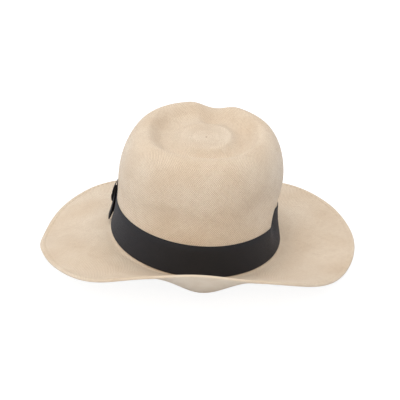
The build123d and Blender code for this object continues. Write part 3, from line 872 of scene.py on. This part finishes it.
def build_tail():
    """The ribbon's free end over the rear loop, cut to a row of small teeth."""
    steps = np.linspace(0, 1, PINKS * 4 + 1)
    section = [(level, 1.0) for level in steps] + [(level, 0.0) for level in reversed(steps)]

    def pinked(share, level):
        tooth = np.abs((level * PINKS) % 1 - 0.5) * 2
        near_end = np.clip((share - PINK_FROM) / (1 - PINK_FROM), 0, 1)
        return share * (1 - PINK_DEPTH / TAIL_END * tooth * near_end)

    tail = ribbon_piece("bow_tail_cloth", tail_point, TAIL_RIBS, TAIL_END_WIDTH, "bow_tail", body=None,
                        section=section, share_of=pinked)
    off_straw = np.array(6.0)
    ends = [bow_point(np.array(along), np.array(0.0), off_straw) * MM
            for along in (KNOT_WIDTH / 2 - TAIL_TUCK, KNOT_WIDTH / 2 + TAIL_BEND)]
    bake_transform(tail)
    return tail


# ---- stitches
THREAD = 0.17           # radius of the thread
THREAD_LIFT = 0.27      # its middle above what it lies on
STITCH_SINK = 0.25      # how deep a stitch's ends go into what it holds
HEM_STITCHES = 150
HEM_STITCH = 3.4        # length of one
HEM_LINE = HEM - 1      # the stitches' distance from the brim's edge
BAND_TACKS = 4
BAND_TACK = 1.6         # length of one, and its middle's distance under the band's upper edge
BOW_TACK = 1.8
BOW_TACK_IN = 3.0       # from a loop's fold
BOW_TACK_OFF = 0.5      # above and below the loops
SWEAT_STITCHES = 120
SWEAT_STITCH = 2.8
SWEAT_LINE = 2.6        # above the leather's lower edge
SPREAD = np.linspace(-0.5, 0.5, 7)  # where a stitch's points lie along it


def arched(points, ups):
    """A stitch over a line of points: its ends dive into the cloth, its middle lies on it."""
    share = np.linspace(-1, 1, len(points))
    lift = THREAD_LIFT - (THREAD_LIFT + STITCH_SINK) * share**6
    return tube(points + ups * lift[:, None], THREAD, sides=6)


def build_stitches(name, lines, material, node, slot):
    """lines are pairs: the points a stitch follows on the surface and that surface's normals there."""
    return join_grids(name, [arched(points, ups) for points, ups in lines], "hat", material, (node,), slot)


def around_hat(count, first=0.0):
    return first + np.arange(count) * TAU / count


def hem_lines():
    u = 5 - HEM_LINE / BRIM
    for phi in around_hat(HEM_STITCHES):
        reach = np.linalg.norm(skin(phi + STEP, u) - skin(phi, u)) / STEP
        turn = phi + SPREAD * HEM_STITCH / reach
        ups = normal(turn, u + 0 * turn)
        yield face_point(turn, u + 0 * turn), ups


def band_tack_lines():
    top = RIBBON_LOW + RIBBON_WIDTH
    for phi in around_hat(BAND_TACKS, math.radians(30)):
        heights = top - BAND_TACK + SPREAD * BAND_TACK
        turn = phi + 0 * heights
        points = outside(turn, heights, SLACK + RIBBON + 0 * heights)
        yield points, unit(points - outside(turn, heights, 0 * heights))


def bow_tack_lines():
    for along in (-LOOP_REACH + BOW_TACK_IN, LOOP_REACH - BOW_TACK_IN):
        for up in (LOOP_HEIGHT / 2 + BOW_TACK_OFF, -LOOP_HEIGHT / 2 - BOW_TACK_OFF):
            spread = along + SPREAD * BOW_TACK
            height = up + 0 * spread
            points = bow_point(spread, height, SLACK + RIBBON + 0 * spread)
            yield points, unit(points - bow_point(spread, height, 0 * spread))


SEED = 11
WORN_SPOTS = ((-71.5, 4), (-67.5, 6), (-64.5, 3), (-100, 2))  # direction, loose ends
LOOSE_FROM = 4.985      # they leave the edge here, as u


def build_straw_ends():
    """A few frayed ends of straw that stick out of the worn edge behind."""
    draw = np.random.default_rng(SEED)
    grids = []
    for centre, count in WORN_SPOTS:
        for _ in range(count):
            phi = math.radians(centre + draw.normal(0, 0.8))
            root = skin(phi, LOOSE_FROM) - normal(phi, LOOSE_FROM) * draw.uniform(0.3, 1.2)
            nx, ny = outward(phi)
            lean = draw.normal(0, 0.5)
            way = unit(np.array([nx - ny * lean, ny + nx * lean, draw.normal(-0.25, 0.3)]))
            reach = draw.uniform(2.5, 4.5)
            share = np.linspace(0, 1, 5)[:, None]
            path = root + way * reach * share + np.array([0, 0, -0.7]) * share**2
            grids.append(tube(path, np.linspace(0.22, 0.07, len(path)), sides=5))
    return join_grids("straw_ends", grids, "hat", loose_straw, slot="straw")


# ================================================================ inside of the crown
REED_COVER = 0.45       # half the leather's thickness where it is rolled round the reed
REED_AIR = 0.1          # between reed and leather
SWEAT_ROWS = (SWEAT_HIGH, 30, 22, 14, 8, 5.2, 4.3)  # heights of the leather's rows of points
SWEAT_WAVE = 0.25       # the leather's upper edge waves in and out by this
SWEAT_WAVES = 9


def sweat_turn(share):
    """Once round from the back, with a narrow gap where the ends meet."""
    gap = SWEAT_SPLIT / HALF_WIDTH
    return math.radians(BACK) + gap / 2 + (TAU - gap) * share


def sweat_section():
    """Height and distance of the leather's face and back, from its top down and round the reed."""
    flat = np.array([(height, STRAW + SWEAT_GAP + LEATHER / 2) for height in SWEAT_ROWS])
    centre = np.array([SWEAT_LOW - REED_RADIUS - REED_DROP, STRAW + SWEAT_GAP + LEATHER / 2 + REED_IN])
    angle = np.radians(np.linspace(50, -115, 10))
    rolled = centre + (REED_RADIUS + REED_AIR + REED_COVER) * np.stack([np.sin(angle), np.cos(angle)], -1)
    line = np.concatenate([flat, rolled])
    half = np.concatenate([np.full(len(flat), LEATHER / 2), np.full(len(rolled), REED_COVER)])
    half[[0, -1]] *= 0.7
    along = unit(np.gradient(line, axis=0))
    across = np.stack([-along[:, 1], along[:, 0]], -1)
    across *= np.sign(across[0, 1])
    face = line + across * half[:, None]
    back = line - across * half[:, None]
    return np.concatenate([face, back[::-1]])


def build_sweatband():
    """The leather strip round the inside, its lower edge rolled over the reed."""
    section = sweat_section()
    turn, height = np.meshgrid(sweat_turn(np.linspace(0, 1, 361)), section[:, 0], indexing="ij")
    distance = np.broadcast_to(section[:, 1], turn.shape)
    wave = SWEAT_WAVE * np.sin(turn * SWEAT_WAVES) * np.clip(height / SWEAT_HIGH, 0, 1) ** 3
    return lattice("sweatband_leather", inside(turn, height, distance + wave), "hat", leather_material(),
                   ("sweatband",), "sweat_leather", close_columns=True, caps=True, sharp=50)


def sweat_lines():
    for share in np.linspace(0.01, 0.99, SWEAT_STITCHES):
        turn = sweat_turn(share) + SPREAD * SWEAT_STITCH / HALF_WIDTH
        height = SWEAT_LOW + SWEAT_LINE + 0 * turn
        points = inside(turn, height, SWEAT_FACE + 0 * turn)
        yield points, unit(inside(turn, height, SWEAT_FACE + 1 + 0 * turn) - points)


def build_tape():
    """A tape over the join at the back of the leather."""
    length = SWEAT_HIGH - SWEAT_LOW - TAPE_SHORT

    def place(share, level, side):
        phi = math.radians(BACK) + (level - 0.5) * TAPE_WIDTH / HALF_WIDTH
        height = SWEAT_LOW + TAPE_FOOT + length * share
        return inside(phi, height, SWEAT_FACE + TAPE_GAP + TAPE * side)

    return strip("sweatband_tape_cloth", place, length, TAPE_WIDTH, 60, tape_cloth, "sweatband_tape", "tape")


def build_tiny_bow():
    """The tiny bow that marks the back: two folded loops and the knot between them."""
    depth = SWEAT_FACE + TAPE_GAP + TAPE + TINY_OUT

    def on_back(along, level, distance):
        phi = math.radians(BACK) + along / HALF_WIDTH
        return inside(phi, SWEAT_LOW + TINY_FOOT + TINY_RIBBON * level, distance)

    def loop(side):
        turn = TAU * np.linspace(0.03, 0.97, 40)[:, None]
        section = np.array([(0, 1), (0.5, 1), (1, 1), (1, 0), (0.5, 0), (0, 0)], float)
        level, face = section[:, 0], section[:, 1]
        inset = TINY_THICKNESS * (1 - face)
        along = TINY_LOOP + TINY_HALF - (TINY_LOOP - inset) * np.cos(turn)
        flare = 0.75 + 0.25 * ease(along / 3)
        out = depth + (TINY_HALF - inset) * np.sin(turn)
        return on_back(side * along, 0.5 + (level - 0.5) * flare, out)

    turn = TAU * np.arange(16) / 16
    share = np.linspace(-0.15, 1.15, 9)[:, None]
    radius = 1.0 - 0.45 * np.abs(2 * share - 1) ** 6
    knot = on_back(radius * np.cos(turn), share, depth + TINY_HALF * radius * np.sin(turn))
    return join_grids("sweatband_bow_cloth", [loop(-1), loop(1), knot], "hat", tiny_cloth,
                      ("sweatband_bow",), "tiny_ribbon")


def build_label():
    """A small blank tag tucked behind the top of the leather."""
    def place(share, level, side):
        phi = math.radians(LABEL_AT) + (share - 0.5) * LABEL_WIDTH / HALF_WIDTH
        height = SWEAT_HIGH - LABEL_TUCK + LABEL_HEIGHT * level
        return inside(phi, height, STRAW + LABEL_GAP + LABEL * side)

    return strip("size_label_cloth", place, LABEL_WIDTH, LABEL_HEIGHT, 30, label_cloth,
                 "size_label", "label")


tape_cloth = cloth_material("cotton_tape", srgb(222, 205, 172), srgb(178, 156, 120), 0.5)
tiny_cloth = thread_material("tiny_ribbon", srgb(60, 55, 57), srgb(24, 22, 23))
label_cloth = cloth_material("label_cloth", srgb(236, 230, 218), srgb(196, 188, 172), 0.4)
loose_straw = thread_material("loose_straw", srgb(226, 205, 172), srgb(176, 144, 102))

build_band()
build_loops()
build_knot()
build_tail()
build_stitches("brim_stitches", hem_lines(), straw_thread, "brim_edge_stitches", "straw_thread")
build_stitches("band_tack_stitches", band_tack_lines(), black_thread, "ribbon_band_tacks", "black_thread")
build_stitches("bow_tack_stitches", bow_tack_lines(), black_thread, "bow_tacks", "black_thread")
build_straw_ends()
build_sweatband()
build_stitches("sweatband_seam", sweat_lines(), straw_thread, "sweatband_stitches", "straw_thread")
build_tape()
build_tiny_bow()
build_label()

# The reed keeps its CAD shape; only its material is new.
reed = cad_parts["sweatband_reed"]
reed.data.materials.clear()
reed.data.materials.append(reed_material())

# ================================================================ stage
low, high = cad_box
FLOOR = low[2] - 0.0005
FLOOR_GLOW = 0.90       # what the camera sees of the floor without light
FLOOR_SHADE = 0.25      # and how strongly light and shadow show on it
FLOOR_BOUNCE = (0.80, 0.86, 0.95)  # light the floor sends back up to the hat
FLOOR_SIZE = 40.0       # half its width, metres
SKY = 0.62              # strength of the sky's light on the hat
LIGHTS = (              # name, place in metres, watts, size, colour
    ("overhead", (0.1, 0.1, 2.2), 32, 2.0, (0.94, 0.965, 1.0)),
    ("front_box", (-0.5, -2.2, 1.0), 14.5, 1.8, (1, 0.92, 0.81)),
    ("left_window", (-2.0, 0.2, 0.9), 9, 1.2, (0.85, 0.93, 1.0)),
)
CAMERA_AZIMUTH, CAMERA_ELEVATION, CAMERA_ROLL = 5.0, 26.0, 1.0  # degrees
CAMERA_DISTANCE = 1.5   # metres
CAMERA_LENS = 133.0
CAMERA_SHIFT = (0.01, 0.0825)


def build_floor():
    """A pale floor: bright and nearly shadowless to the camera, grey-blue in the light it sends up."""
    floor_mesh = bpy.data.meshes.new("floor")
    corners = ((-1, -1), (1, -1), (1, 1), (-1, 1))
    floor_mesh.from_pydata([(x * FLOOR_SIZE, y * FLOOR_SIZE, FLOOR) for x, y in corners], [],
                           [(0, 1, 2, 3)])
    floor = bpy.data.objects.new("floor", floor_mesh)
    bpy.context.scene.collection.objects.link(floor)
    s = Shader("pale_floor", roughness=0.9)
    shown = s.node("ShaderNodeEmission", 0, {"Color": (1, 1, 1, 1), "Strength": FLOOR_GLOW})
    lit = s.node("ShaderNodeBsdfDiffuse", 0, {"Color": (*[FLOOR_SHADE] * 3, 1)})
    pale = s.node("ShaderNodeAddShader", 0, {0: shown, 1: lit})
    bounce = s.node("ShaderNodeBsdfDiffuse", 0, {"Color": (*FLOOR_BOUNCE, 1)})
    seen = s.node("ShaderNodeLightPath", "Is Camera Ray")
    choice = s.node("ShaderNodeMixShader", 0, {0: seen, 1: bounce, 2: pale})
    s.set(s.tree.nodes["Material Output"], "Surface", choice)
    floor_mesh.materials.append(s.material)


def build_sky():
    """An even white sky, full white where the camera sees it."""
    world = bpy.data.worlds.new("studio")
    world.use_nodes = True
    tree = world.node_tree
    sky = tree.nodes["Background"]
    sky.inputs[0].default_value = (1, 1, 1, 1)
    strength = tree.nodes.new("ShaderNodeMapRange")
    strength.inputs["To Min"].default_value = SKY
    strength.inputs["To Max"].default_value = 1.0
    tree.links.new(tree.nodes.new("ShaderNodeLightPath").outputs["Is Camera Ray"], strength.inputs["Value"])
    tree.links.new(strength.outputs[0], sky.inputs[1])
    bpy.context.scene.world = world


def build_lights():
    """Large soft lamps that face the hat."""
    for name, place, power, size, colour in LIGHTS:
        lamp = bpy.data.lights.new(name, "AREA")
        lamp.energy = power
        lamp.color = colour
        lamp.size = size
        obj = bpy.data.objects.new(name, lamp)
        obj.location = place
        obj.rotation_mode = "QUATERNION"
        obj.rotation_quaternion = (-Vector(place)).to_track_quat("-Z", "Y")
        bpy.context.scene.collection.objects.link(obj)


def build_camera():
    """Seen from behind and above, a little from the wearer's right, with a slight roll."""
    azimuth, elevation, roll = np.radians((CAMERA_AZIMUTH, CAMERA_ELEVATION, CAMERA_ROLL)).tolist()
    back = Vector((math.sin(azimuth) * math.cos(elevation), -math.cos(azimuth) * math.cos(elevation),
                   math.sin(elevation)))
    right = Vector((math.cos(azimuth), math.sin(azimuth), 0))
    up = back.cross(right)
    rolled_right = right * math.cos(roll) + up * math.sin(roll)
    rolled_up = up * math.cos(roll) - right * math.sin(roll)
    camera = bpy.data.objects.new("camera", bpy.data.cameras.new("camera"))
    camera.data.lens = CAMERA_LENS
    camera.data.shift_x, camera.data.shift_y = CAMERA_SHIFT
    facing = Matrix((rolled_right, rolled_up, back)).transposed().to_4x4()
    camera.matrix_world = Matrix.Translation(back * CAMERA_DISTANCE) @ facing
    bpy.context.scene.collection.objects.link(camera)
    bpy.context.scene.camera = camera


build_floor()
build_sky()
build_lights()
build_camera()
bpy.context.scene.view_settings.view_transform = "Standard"
